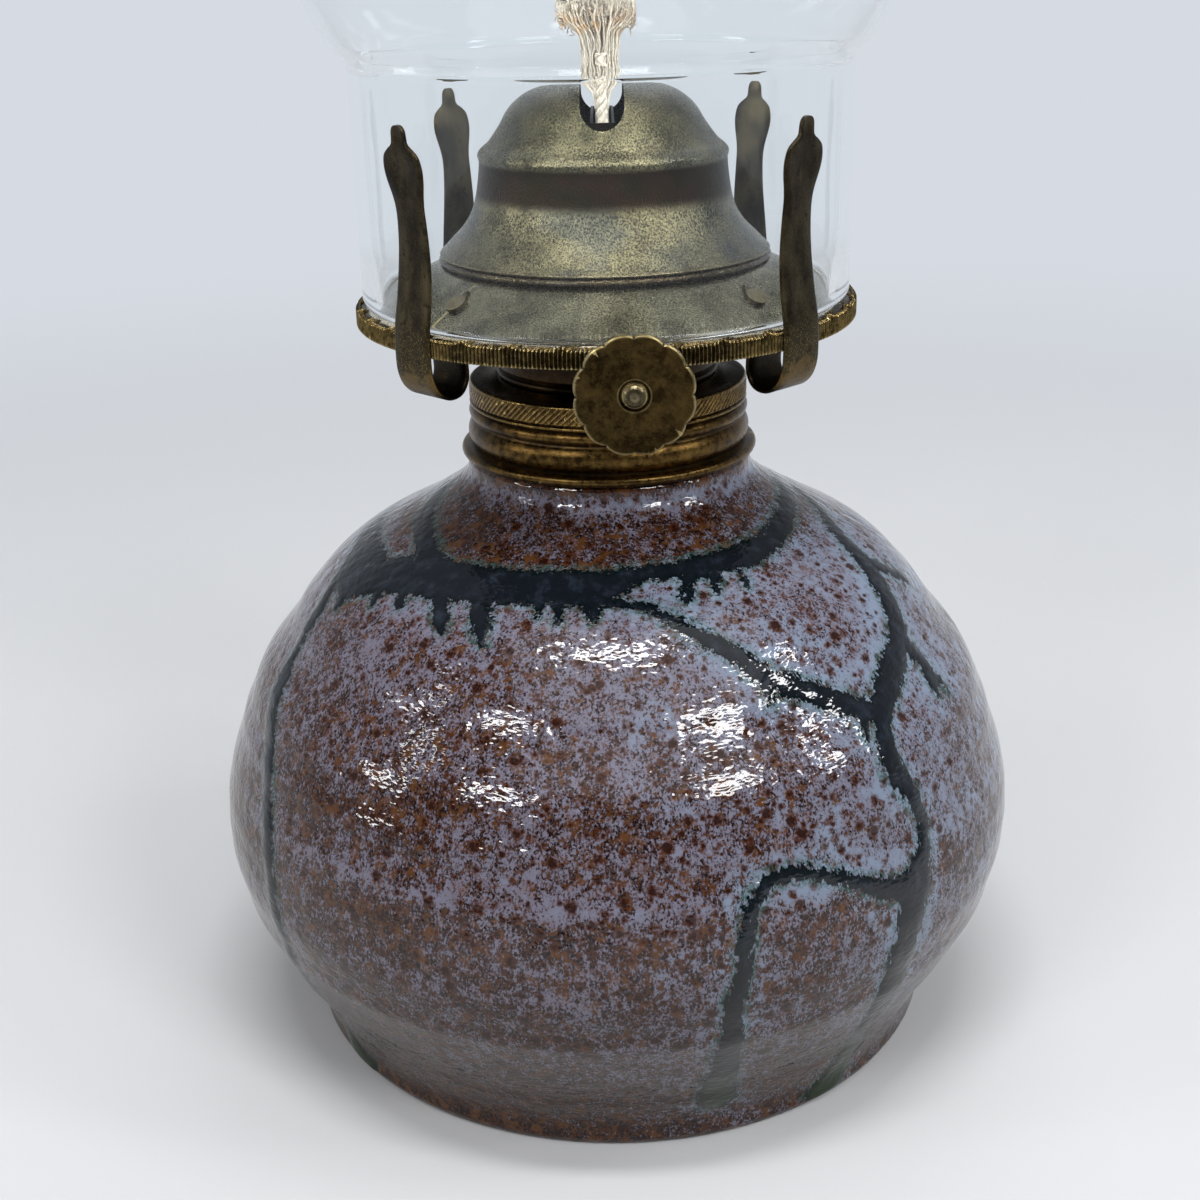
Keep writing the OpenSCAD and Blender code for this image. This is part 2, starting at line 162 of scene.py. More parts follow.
class Paint:
    """One material. Its textures are in real sizes, in millimetres, and stay with the piece."""

    def __init__(self, name):
        self.material = bpy.data.materials.new(name)
        self.material.use_nodes = True
        self.tree = self.material.node_tree
        self.tree.nodes.clear()
        self.place = self.node("ShaderNodeTexCoord", output="Object")

    def node(self, kind, settings=None, inputs=None, output=0):
        made = self.tree.nodes.new(kind)
        for key, value in (settings or {}).items():
            if key == "stops":
                for i, (at, colour) in enumerate(value):
                    stop = made.color_ramp.elements[i] if i < 2 else made.color_ramp.elements.new(at)
                    stop.position = at
                    stop.color = colour
            else:
                setattr(made, key, value)
        for key, value in (inputs or {}).items():
            if isinstance(value, Value):
                self.tree.links.new(value.socket, made.inputs[key])
            elif value is not None:
                made.inputs[key].default_value = value
        return Value(self, made.outputs[output])

    def mix(self, amount, first, second):
        """The colour first where amount is 0, and second where it is 1."""
        return self.node("ShaderNodeMix", {"data_type": "RGBA"}, {0: amount, 6: first, 7: second}, output=2)

    def stretched(self, x, y, z):
        """The place on the piece, with each axis scaled, for grain that runs one way."""
        return self.node("ShaderNodeVectorMath", {"operation": "MULTIPLY"}, {0: self.place, 1: (x, y, z)})

    def noise(self, size, detail=3.0, rough=0.5, at=None, warp=0.0):
        inputs = {"Vector": at or self.place, "Scale": 1 / (size * MM), "Detail": detail, "Roughness": rough,
            "Distortion": warp}
        return self.node("ShaderNodeTexNoise", None, inputs)

    def cells(self, size, at=None, output="Distance"):
        inputs = {"Vector": at or self.place, "Scale": 1 / (size * MM)}
        return self.node("ShaderNodeTexVoronoi", None, inputs, output=output)

    def ramp(self, amount, stops, easing="EASE"):
        made = self.node("ShaderNodeValToRGB", {"stops": stops}, {0: amount})
        self.tree.nodes[-1].color_ramp.interpolation = easing
        return made

    def along(self, axis):
        """The height, or another coordinate, in millimetres."""
        return self.node("ShaderNodeSeparateXYZ", None, {0: self.place}, output=axis) * (1 / MM)

    def attribute(self, name):
        return self.node("ShaderNodeAttribute", {"attribute_name": name}, output="Fac")

    def edges(self, low, high):
        """1 on sharp outer edges, where metal is rubbed."""
        return self.node("ShaderNodeNewGeometry", output="Pointiness").over(low, high)

    def relief(self, height):
        """A bump whose height is in millimetres."""
        return self.node("ShaderNodeBump", None, {"Strength": 1.0, "Distance": MM, "Height": height})

    def surface(self, **inputs):
        named = {key.replace("_", " "): value for key, value in inputs.items()}
        shader = self.node("ShaderNodeBsdfPrincipled", None, named)
        self.node_output(shader)
        return self.material

    def node_output(self, shader):
        made = self.tree.nodes.new("ShaderNodeOutputMaterial")
        self.tree.links.new(shader.socket, made.inputs["Surface"])


# Glaze and metal finishes
PALE_GLAZE = tone(108, 105, 120)
MILKY_GLAZE = tone(118, 130, 150)
CLAY = tone(60, 37, 26)
DARK_CLAY = tone(26, 14, 11)
OCHRE = tone(88, 55, 26)
RUST = tone(68, 37, 19)
IRON = tone(28, 9, 5)
SLATE = tone(16, 20, 26)
# Lighter grey-blue streaks of the dark glaze: glaze colour, partly a painted sheen.
SLATE_STREAK_AND_SHEEN = tone(36, 42, 52)
DRIP_EDGE = tone(4, 14, 16)
DRIP_BROWN = tone(26, 21, 18)
DRIP_GREEN = tone(28, 44, 20)
FRINGE = tone(50, 90, 86)


def glaze_finish():
    """Pale glaze that breaks over brown clay in fine hairs, with iron spots and dark running drips."""
    paint = Paint("stoneware_glaze")
    height = paint.along("Z")
    bands = [(0, 0.20), (0.10, 0.28), (0.20, 0.42), (0.27, 0.36), (0.36, 0.52), (0.44, 0.36), (0.475, 0.44), (0.49, 0.66),
        (0.51, 0.52), (0.62, 0.46), (0.72, 0.56), (0.84, 0.56), (0.868, 0.46), (0.885, 0.22), (0.905, 0.42), (0.925, 0.34),
        (0.938, 0.44), (0.952, 0.80), (0.962, 0.66), (0.974, 0.2), (0.98, 0.10)]
    thick = paint.ramp(height * 0.01, [(at, (v, v, v, 1)) for at, v in bands], "LINEAR")
    wide = paint.noise(19, 2, 0.5, paint.stretched(1, 1, 2.2))
    patch = paint.noise(4.2, 3, 0.6)
    clump = paint.noise(1.4, 3, 0.65, paint.stretched(1, 1, 0.75))
    fine = paint.noise(0.36, 3, 0.7, paint.stretched(1, 1, 0.7))
    hairs = paint.noise(0.42, 2, 0.6, paint.stretched(1, 1, 0.4))
    ragged = paint.noise(1.3, 3, 0.6, paint.stretched(1, 1, 0.35))
    edge = paint.attribute("drip") + (ragged - 0.5) * 3.2
    near = edge.over(-5.0, -0.6)
    # Towards +X, the right side, the glaze covers more and turns paler and bluer: painted light falling from the right.
    right_side_light = paint.along("X").over(-70, 75) - 0.5
    bias = ((thick - 0.5) * 0.5 + (wide - 0.5) * 0.3 + (patch - 0.5) * 0.3 + (clump - 0.5) * 0.55
        + near * 0.03 + right_side_light * 0.09)
    cover = (fine + bias).over(0.42, 0.58)
    clay = paint.mix(paint.noise(0.5, 2).over(0.40, 0.62), DARK_CLAY, CLAY)
    milky = (paint.noise(7, 2).over(0.45, 0.7) * 0.3 + near * 0.3 + bias.over(0.0, 0.25) * 0.6 + right_side_light * 0.8).over(0.0, 1.1)
    ground = paint.mix(cover * 0.92, clay, paint.mix(milky, PALE_GLAZE, MILKY_GLAZE))
    ochre = (paint.noise(2.0, 3, 0.6) - bias * 0.3).over(0.51, 0.68)
    ground = paint.mix(ochre * (0.75 - cover * 0.45), ground, OCHRE)
    wobble = (paint.noise(0.5, 2) - 0.5) * 0.5
    for pitch, reach in ((2.7, 0.35), (1.6, 0.28)):
        centre = paint.cells(pitch, output="Color") * reach - paint.cells(pitch) + wobble
        ground = paint.mix(centre.over(-0.20, 0.0) * 0.8, ground, RUST)
        ground = paint.mix(centre.over(-0.05, 0.07) * 0.85, ground, IRON)
    fringe = edge.over(-1.3, -0.1) * hairs.over(0.40, 0.58)
    ground = paint.mix(fringe * 0.7, ground, FRINGE)
    # Lighter grey-blue streaks down the dark glaze: glaze colour with a painted sheen.
    streak = paint.noise(2.4, 3, 0.6, paint.stretched(1, 1, 0.45))
    deep = paint.mix(streak.over(0.45, 0.75) * 0.8, SLATE, SLATE_STREAK_AND_SHEEN)
    deep = paint.mix((48 - height).over(0, 30) * 0.8, deep, DRIP_BROWN)
    deep = paint.mix((17 - height).over(0, 4), deep, DRIP_GREEN)
    dark = paint.mix(edge.over(0.2, 1.3), DRIP_EDGE, deep)
    covered = (edge + (hairs - 0.5) * 2.4).over(-0.15, 0.3)
    colour = paint.mix(covered, ground, dark)
    peel = paint.noise(0.75, 1, 0.5, paint.stretched(0.5, 0.5, 1)) * 0.12 + paint.noise(3.2, 1) * 0.2
    return paint.surface(Base_Color=colour, Roughness=0.08 - covered * 0.02, IOR=1.44,
        Normal=paint.relief(peel * (1 - covered * 0.15)))


def brass_finish(name, bright, dark, tarnish, worn, rough, grain=0.02, scratches=0.0, mottle_size=0.9):
    """Old brass: dark mottled tarnish, lighter metal where it is thin, bright rubbed edges, and dirt with painted shade
    darkening the creases.
    """
    paint = Paint(name)
    cloud = paint.noise(4.5, 4, 0.6, warp=0.3)
    mottle = paint.noise(mottle_size, 3, 0.6)
    speck = paint.noise(0.22, 2, 0.6)
    amount = (cloud * 0.55 + mottle * 0.5 + speck * 0.3).over(0.46, 0.92)
    metal = paint.mix(amount, dark, bright)
    metal = paint.mix(paint.noise(1.9, 2).over(0.56, 0.70) * 0.6, metal, tarnish)
    # Darker, rougher and less metallic in the creases: dirt, and painted shade.
    grime_and_shade = 1 - paint.edges(0.40, 0.49)
    metal = paint.mix(grime_and_shade * 0.9, metal, tone(14, 11, 8))
    rubbed = paint.edges(0.51, 0.58) * (mottle.over(0.3, 0.6) * 0.5 + 0.5)
    metal = paint.mix(rubbed, metal, worn)
    shine = rough + (mottle - 0.5) * 0.25 - rubbed * 0.14 + grime_and_shade * 0.2
    lines = paint.noise(0.35, 1, 0.5, paint.stretched(1, 1, 6)) * scratches
    return paint.surface(Base_Color=metal, Metallic=1.0 - grime_and_shade * 0.5, Roughness=shine,
        Normal=paint.relief(speck * grain + mottle * grain + lines))


def dome_finish():
    """Etched brass with an upright sparkle, a rubbed ridge that carries a painted highlight, and a brown band where the
    sheet turns under it.
    """
    paint = Paint("etched_brass")
    height = paint.along("Z")
    grain = paint.noise(0.25, 2, 0.6, paint.stretched(1, 1, 0.7))
    cloud = paint.noise(6, 3, 0.6)
    metal = paint.mix((grain * 0.9 + cloud * 0.8).over(0.58, 1.12), tone(40, 37, 27), tone(131, 124, 97))
    metal = paint.mix(paint.noise(9, 2).over(0.5, 0.66) * 0.4, metal, tone(72, 77, 78))
    # Bluish grey towards +X, the right side: a painted reflection.
    metal = paint.mix(paint.along("X").over(4, 20) * 0.35, metal, tone(66, 72, 74))
    metal = paint.mix(height.over(146, 150) * 0.5, metal, tone(56, 54, 40))
    turned_under = height.over(138.2, 140.2) * (1 - height.over(144.2, 145.2))
    brown = paint.mix(cloud.over(0.42, 0.58), tone(27, 22, 9), tone(32, 18, 10))
    metal = paint.mix(turned_under * 0.95, metal, brown)
    spots = paint.noise(0.55, 1, 0.4).over(0.66, 0.70)
    metal = paint.mix(spots * 0.7, metal, tone(30, 24, 18))
    foot = 1 - height.over(DOME_Z + 1.7, DOME_Z + 2.3)
    metal = paint.mix(foot * 0.6, metal, tone(60, 46, 34))
    # Brighter on the ridge and sharp edges: painted highlight, with rubbed metal.
    rubbed = paint.edges(0.52, 0.58) * 0.75
    metal = paint.mix(rubbed, metal, tone(150, 142, 112))
    # Darker in the creases, as under the ridge: painted shade, with dirt.
    grime_and_shade = 1 - paint.edges(0.42, 0.487)
    metal = paint.mix(grime_and_shade * 0.8, metal, tone(22, 17, 12))
    shine = 0.27 + (grain - 0.5) * 0.3 + turned_under * 0.12 - rubbed * 0.06
    return paint.surface(Base_Color=metal, Metallic=1.0, Roughness=shine, Normal=paint.relief(grain * 0.12))


def gallery_finish():
    """A pewter grey deck with a soft etched grain, in a rim of darker fluted brass."""
    paint = Paint("gallery_brass")
    out = paint.node("ShaderNodeVectorMath", {"operation": "LENGTH"}, {0: paint.stretched(1, 1, 0)}, output="Value")
    rim = (out * (1 / MM)).over(36.6, 37.4)
    way = paint.node("ShaderNodeVectorMath", {"operation": "NORMALIZE"}, {0: paint.stretched(1, 1, 0)})
    grain = paint.noise(0.24, 2, 0.6)
    cloud = paint.noise(5, 3, 0.6)
    deck = paint.mix((grain * 0.8 + cloud * 0.6).over(0.48, 0.98), tone(60, 58, 46), tone(138, 133, 110))
    streaks = paint.noise(17, 2, 0.6, way).over(0.5, 0.62) * (out * (1 / MM)).over(32.2, 33.2) * (1 - (out * (1 / MM)).over(34.6, 35.4))
    deck = paint.mix(streaks * 0.4, deck, tone(70, 66, 54))
    mottle = paint.noise(0.9, 3, 0.6)
    brass = paint.mix((cloud * 0.5 + mottle * 0.6).over(0.4, 0.75), tone(48, 38, 21), tone(116, 97, 58))
    metal = paint.mix(rim, deck, brass)
    # Darker in the flute valleys and creases of the rim: painted shade, with dirt.
    grime_and_shade = (1 - paint.edges(0.41, 0.49)) * rim
    metal = paint.mix(grime_and_shade * 0.95, metal, tone(8, 6, 4))
    # Brighter on sharp edges and flute crests: painted highlight, with rubbed metal.
    rubbed = paint.edges(0.53, 0.62) * (mottle.over(0.35, 0.6) * 0.6 + 0.4)
    metal = paint.mix(rubbed * 0.85, metal, tone(192, 174, 122))
    shine = 0.27 + (grain - 0.5) * 0.25 - rubbed * 0.06 + grime_and_shade * 0.25
    return paint.surface(Base_Color=metal, Metallic=1.0 - grime_and_shade * 0.5, Roughness=shine, Normal=paint.relief(grain * 0.03))


def prong_finish():
    """Spring brass gone the brown of chocolate, with coppery edges and a gold patch rubbed on the bend."""
    paint = Paint("prong_brass")
    height = paint.along("Z")
    cloud = paint.noise(3.6, 3, 0.6, paint.stretched(1, 1, 0.5))
    speck = paint.noise(0.25, 2, 0.6)
    out = paint.node("ShaderNodeVectorMath", {"operation": "LENGTH"}, {0: paint.stretched(1, 1, 0)}, output="Value") * (1 / MM)
    metal = paint.mix((cloud * 0.8 + speck * 0.35).over(0.4, 0.78), tone(35, 30, 22), tone(76, 68, 50))
    low = (127 - height).over(0, 5)
    metal = paint.mix(low * 0.6, metal, tone(58, 51, 34))
    metal = paint.mix(low * speck.over(0.56, 0.66) * 0.6, metal, tone(140, 118, 70))
    outside = (out - 38.2).over(0, 0.8)
    patch = (118.6 - height + (paint.noise(2.4, 3) - 0.5) * 8).over(0, 1.2) * outside
    metal = paint.mix(patch * 0.55, metal, tone(112, 90, 52))
    # Darker inside the rim below the gallery: painted shade under the deck.
    metal = paint.mix((120 - height).over(0, 2) * (1 - outside) * 0.8, metal, tone(22, 17, 13))
    metal = paint.mix(paint.noise(1.1, 2).over(0.60, 0.68) * 0.6, metal, tone(26, 19, 16))
    rubbed = paint.edges(0.55, 0.68)
    metal = paint.mix(rubbed * 0.7, metal, tone(128, 98, 58))
    return paint.surface(Base_Color=metal, Metallic=1.0, Roughness=0.40 + (cloud - 0.5) * 0.3 - rubbed * 0.1,
        Normal=paint.relief(speck * 0.02 + paint.noise(0.3, 1, 0.5, paint.stretched(1, 1, 0.12)) * 0.012))


def glass_finish():
    """Clear glass that lets lamp light through to what stands inside it, and lets out light caught in its thick rim."""
    paint = Paint("clear_glass")
    waves = paint.noise(14, 1, 0.4, paint.stretched(1, 1, 0.6)) * 0.05
    solid = paint.node("ShaderNodeBsdfPrincipled", None, {"Base Color": tone(252, 254, 254), "Roughness": 0.0,
        "IOR": 1.48, "Transmission Weight": 1.0, "Specular Tint": (0.35, 0.35, 0.36, 1), "Normal": paint.relief(waves)})
    clear = paint.node("ShaderNodeBsdfTransparent", None, {0: tone(250, 252, 252)})
    shadow = paint.node("ShaderNodeLightPath", output="Is Shadow Ray")
    caught = paint.node("ShaderNodeLightPath", output="Glossy Depth").over(2, 3)
    let_out = shadow.maths("MAXIMUM", shadow, caught)
    paint.node_output(paint.node("ShaderNodeMixShader", None, {0: let_out, 1: solid, 2: clear}))
    return paint.material


def cotton_finish():
    """Cream cotton yarn, scorched a little at its end."""
    paint = Paint("cotton")
    height = paint.along("Z")
    fibre = paint.noise(0.22, 3, 0.6, paint.stretched(1, 1, 0.3))
    cream = paint.mix(fibre.over(0.35, 0.7), tone(164, 152, 134), tone(208, 201, 189))
    scorch = (height - 162).over(0, 2.4) * (168 - height).over(0, 3) * paint.noise(2.0, 2).over(0.40, 0.62)
    cream = paint.mix(scorch * 0.75, cream, tone(168, 130, 84))
    return paint.surface(Base_Color=cream, Roughness=0.9, Sheen_Weight=0.3,
        Normal=paint.relief(fibre * 0.05))


def plaster_finish():
    paint = Paint("collar_plaster")
    dust = paint.noise(1.2, 4, 0.6)
    colour = paint.mix(dust, tone(188, 182, 170), tone(150, 140, 126))
    return paint.surface(Base_Color=colour, Roughness=0.95, Normal=paint.relief(dust * 0.1))


def floor_finish():
    """A pale matt floor that takes the lamp's shadow, and turns evenly pale further away, where a camera sees it."""
    paint = Paint("floor")
    seen = paint.node("ShaderNodeLightPath", output="Is Camera Ray")
    for ray in ("Is Glossy Ray", "Is Transmission Ray"):
        seen = seen.maths("MAXIMUM", seen, paint.node("ShaderNodeLightPath", output=ray))
    colour = paint.mix(paint.noise(600, 2), tone(192, 193, 195), tone(197, 198, 200))
    near = paint.node("ShaderNodeBsdfPrincipled", None, {"Base Color": paint.mix(seen, tone(150, 148, 146), colour),
        "Roughness": 0.7})
    far = paint.node("ShaderNodeEmission", None, {"Color": tone(214, 219, 227)})
    out = paint.node("ShaderNodeVectorMath", {"operation": "LENGTH"}, {0: paint.place}, output="Value").over(0.12, 0.75)
    paint.node_output(paint.node("ShaderNodeMixShader", None, {0: out * seen, 1: near, 2: far}))
    return paint.material


# Shapes
def arc(cx, cz, r, start, end, n=8):
    """Points on a circle from start to end, in degrees."""
    return [(cx + r * math.cos(math.radians(start + (end - start) * i / n)),
        cz + r * math.sin(math.radians(start + (end - start) * i / n))) for i in range(n + 1)]


def smooth(points, steps=8):
    """A curve through points, with steps pieces between each two."""
    p = [np.array(q, float) for q in points]
    last = len(p) - 1
    made = []
    for i in range(last):
        a, b, c, d = p[max(i - 1, 0)], p[i], p[i + 1], p[min(i + 2, last)]
        for k in range(steps):
            t = k / steps
            made.append(0.5 * (2 * b + (c - a) * t + (2 * a - 5 * b + 4 * c - d) * t * t
                + (3 * b - a - 3 * c + d) * t ** 3))
    return [tuple(q) for q in made] + [tuple(p[last])]


def beside(points, distance):
    """The same curve, a distance to the left of its direction."""
    p = np.array(points, float)
    run = np.vstack([p[1:2] - p[:1], p[2:] - p[:-2], p[-1:] - p[-2:-1]])
    run /= np.linalg.norm(run, axis=1)[:, None]
    return [tuple(q) for q in p + distance * np.stack([-run[:, 1], run[:, 0]], -1)]


def piece(name, points, faces, body, finish, sharp=35):
    """A mesh in the lamp's frame that rides on a body. Its points are in metres."""
    mesh = bpy.data.meshes.new(name)
    mesh.from_pydata([tuple(p) for p in points], [], [tuple(f) for f in faces])
    mesh.validate()
    mesh.shade_smooth()
    mesh.set_sharp_from_angle(angle=math.radians(sharp))
    mesh.materials.append(finish)
    made = bpy.data.objects.new(name, mesh)
    bpy.context.scene.collection.objects.link(made)
    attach(made, body)
    return made


def grid_faces(rows, columns, round_rows=False):
    """Faces of a grid that closes round its columns, and round its rows too if asked."""
    i = np.arange(rows if round_rows else rows - 1)[:, None]
    j = np.arange(columns)[None, :]
    up = (i + 1) % rows
    on = (j + 1) % columns
    corners = [i * columns + j, i * columns + on, up * columns + on, up * columns + j]
    return np.stack([np.broadcast_to(c, (len(i), columns)) for c in corners], -1).reshape(-1, 4)


def turned(outline, columns=192, shape=None, closed=True):
    """Points and faces of an outline turned round Z. shape moves its points: r, z, angle to r, z.
    An open outline starts and ends on the axis."""
    p = np.array(outline, float)
    ends = [] if closed else [p[0], p[-1]]
    if not closed:
        p = p[1:-1]
    angle = np.arange(columns)[None, :] * TURN / columns
    r = np.repeat(p[:, :1], columns, 1)
    z = np.repeat(p[:, 1:], columns, 1)
    if shape:
        r, z = shape(r, z, angle)
    points = np.stack([r * np.cos(angle), r * np.sin(angle), z], -1).reshape(-1, 3)
    faces = [tuple(f) for f in grid_faces(len(p), columns, closed)]
    if ends:
        first = len(points)
        points = np.vstack([points, [[0, 0, e[1]] for e in ends]])
        top = (len(p) - 1) * columns
        for j in range(columns):
            on = (j + 1) % columns
            faces.append((first, on, j))
            faces.append((first + 1, top + j, top + on))
    return points * MM, faces


def tube(path, radii, sides=6):
    """Points and faces of a thin closed tube along a path, in millimetres."""
    p = np.array(path, float)
    run = np.gradient(p, axis=0)
    run /= np.linalg.norm(run, axis=1)[:, None] + 1e-9
    side = np.cross(run, [0.31, 0.87, 0.38])
    side /= np.linalg.norm(side, axis=1)[:, None]
    other = np.cross(run, side)
    a = np.arange(sides) * TURN / sides
    rings = p[:, None] + np.array(radii)[:, None, None] * (
        side[:, None] * np.cos(a)[None, :, None] + other[:, None] * np.sin(a)[None, :, None])
    points = rings.reshape(-1, 3)
    faces = [tuple(f) for f in grid_faces(len(p), sides)]
    faces.append(tuple(range(sides))[::-1])
    faces.append(tuple(range((len(p) - 1) * sides, len(p) * sides)))
    return points * MM, faces


def joined(parts):
    """Several point and face lists as one."""
    points, faces, count = [], [], 0
    for p, f in parts:
        points.append(p)
        faces += [tuple(k + count for k in face) for face in f]
        count += len(p)
    return np.vstack(points), faces


# The pot
def font_outer():
    return smooth([(FOOT_R, 1.4), (FOOT_R + 0.4, 5), (57.9, 12), (61.7, 18), (64.6, 24), (66.9, 31),
        (BELLY_R, 38), (66.8, 45), (64.7, 52), (62, 59), (58.7, 65), (54.2, 71), (49.5, 77), (44.1, 82),
        (36.9, 86.1), (29.8, 90), (25.6, 93), (LEDGE_R + 0.4, 95.2), (LEDGE_R, LEDGE_Z - 0.6)], 12)


def font_inner():
    r = BELLY_R - WALL
    return smooth([(30, 8), (44, 8.6), (r - 10, 14), (r - 3.6, 23), (r - 0.6, 32), (r - 0.2, 42), (r - 3.6, 52),
        (r - 8.6, 61), (47, 72.5), (39.5, 79.5), (30, 85), (21, 89.4), (NECK_BORE_R, 93)], 4)


# Each run of dark glaze: compass angle in degrees, height and half width in millimetres
SHOULDER_POOL = [(-172, 84, 3), (-165, 82.5, 3.8), (-157, 82, 4), (-150, 84, 4.2), (-139, 85.2, 4.3), (-122, 86, 3.8),
    (-110, 86.4, 3.6), (-100, 86.6, 3.8), (-91, 87, 3), (-83, 87.9, 1.7), (-74, 88, 1.7), (-62, 88, 2.4), (-48, 88.2, 2.4),
    (-34, 89, 2), (-16, 90, 1.8), (0, 90.6, 2)]
POOL_ARMS = [[(-142, 86.8, 2.2), (-156, 88.4, 2), (-168, 89.4, 2.2), (-180, 91, 2.4)],
    [(-151, 84, 2.4), (-166, 84.2, 2.6), (-180, 84, 3), (-196, 84, 2.6)]]
POOL_FINGERS = [[(-158, 82, 2), (-155.5, 78.6, 1)], [(-146, 82, 1.2), (-145, 81, 0.8)], [(-140, 83.6, 1.4), (-137.5, 82, 0.8)],
    [(-129, 84, 1.9), (-126, 82.4, 1.5), (-124.5, 81.2, 1)], [(-119, 84.4, 2), (-116.5, 82.4, 1.6), (-115, 80.8, 0.9)],
    [(-106, 85.4, 0.8), (-105, 83.8, 0.5)], [(-102, 85.5, 1.2), (-101, 83.4, 0.6)], [(-95, 85.6, 1.9), (-94, 83.8, 0.8)],
    [(-71, 87.3, 1.5), (-73.5, 85.2, 1)], [(-64, 87.2, 1.3), (-66, 85.4, 0.7)], [(-57, 87, 1), (-58, 85.4, 0.5)]]
LEFT_TRAIL = [(-167, 82, 1.8), (-163, 78.5, 1.9), (-161, 75, 2.1), (-160, 70, 1.7), (-158, 67, 2.5), (-155, 63, 2.2),
    (-151, 58, 2), (-147, 51, 1.9), (-144, 43, 1.8), (-143, 34, 1.9), (-143, 24, 1.7), (-146, 12, 1.6), (-147, 4, 1.9),
    (-140, 2, 1.8)]
RIGHT_TRAIL = [(8, 89, 1.4), (-5, 87.2, 1.5), (-13, 86, 1.6), (-19, 83.8, 2), (-24, 80.5, 2.4), (-28, 76.5, 2.5),
    (-33, 73.4, 2.5), (-39, 71, 2.8), (-45, 68, 2.3), (-47, 65, 1.8), (-48, 61.5, 2.2), (-46, 57, 1.9), (-45, 52, 1.4),
    (-46, 48.5, 1.6), (-48, 44.5, 3), (-50, 38, 3.1), (-51, 30, 2.9), (-51, 20, 2.9), (-50, 11, 3.1), (-51, 5, 3.3),
    (-55, 1.8, 2.6)]
RIGHT_BRANCHES = [[(-12, 77.4, 1.4), (-17, 80.5, 1.6), (-20, 82.6, 1.5)], [(-31, 73.4, 1.8), (-29, 70, 1.8), (-29, 67.6, 2.2)],
    [(-30, 68, 1.1), (-30.5, 65.2, 0.7)], [(-28, 68, 1.1), (-27, 64.8, 0.7)]]
SLANTED_TRAIL = [(-96, 85.6, 1.8), (-88, 85.2, 1.1), (-82, 84.6, 1.1), (-77, 83, 1.5), (-72, 81, 1.5), (-68, 79, 1.7),
    (-64, 76, 2), (-58, 73.4, 2), (-54, 71.4, 2), (-49, 69, 2.1), (-45, 68, 2.2)]
SLANTED_FINGERS = [[(-64, 75, 1.2), (-65, 72.8, 0.7)], [(-50, 67.4, 1), (-50.5, 65.6, 0.6)]]
LOOP_TRAIL = [(-49, 43.5, 2.8), (-55, 46, 1.6), (-61, 49.6, 1.1), (-66, 51.6, 1.1), (-70.5, 51.6, 1.2), (-73, 49.2, 1.3),
    (-74.5, 45, 1.3), (-75, 38, 1.3), (-76, 32, 1.6), (-76, 25, 2.1), (-76, 17, 2.5), (-75.5, 11, 3.1), (-75, 8.6, 2.9)]
BACK_TRAILS = [[(0, 90.6, 2), (24, 89.6, 2), (54, 88, 2.2), (80, 88.6, 2.4), (104, 88, 2.2), (128, 88.6, 2.4), (150, 89.5, 2.2),
        (178, 90.6, 2.2)],
    [(164, 84, 2.4), (150, 84.6, 2.2), (136, 86.4, 2)],
    [(128, 88, 2), (124, 80, 1.8), (121, 70, 1.7), (119, 58, 1.6), (120, 45, 1.8), (123, 32, 2), (124, 24, 2.4)],
    [(80, 88.6, 1.8), (76, 81, 1.8), (66, 74, 2), (58, 66, 1.8), (55, 55, 1.7), (56, 42, 1.9), (60, 28, 2.1), (62, 14, 2.3),
        (61, 5, 2.6)],
    [(66, 74, 1.7), (80, 70, 1.6), (95, 69, 1.6), (110, 67, 1.5), (120, 66, 1.5)],
    [(100, 88, 1.8), (101, 84.6, 0.9)], [(92, 88, 1.6), (91, 85.4, 0.8)], [(112, 88, 1.6), (113, 84, 0.8)],
    [(40, 88.6, 1.6), (38, 85.2, 0.8)]]
DRIPS = ([SHOULDER_POOL, LEFT_TRAIL, RIGHT_TRAIL, SLANTED_TRAIL, LOOP_TRAIL] + POOL_ARMS + POOL_FINGERS + RIGHT_BRANCHES
    + SLANTED_FINGERS + BACK_TRAILS)


def glaze_depth(points, outline):
    """How far each point of the pot lies inside the dark glaze, in millimetres, and below 0 outside it."""
    heights = np.array([z for r, z in outline])
    radii = np.array([r for r, z in outline])
    best = np.full(len(points), -30.0)
    for run in DRIPS:
        route = np.array(smooth(run, 6))
        angle = np.radians(route[:, 0])
        r = np.interp(route[:, 1], heights, radii)
        line = np.stack([r * np.cos(angle), r * np.sin(angle), route[:, 1]], -1)
        for a, b, wide_a, wide_b in zip(line[:-1], line[1:], route[:-1, 2], route[1:, 2]):
            along = b - a
            t = np.clip((points - a) @ along / max(along @ along, 1e-9), 0, 1)
            gap = np.linalg.norm(points - a - t[:, None] * along, axis=1)
            best = np.maximum(best, wide_a + (wide_b - wide_a) * t - gap)
    return best


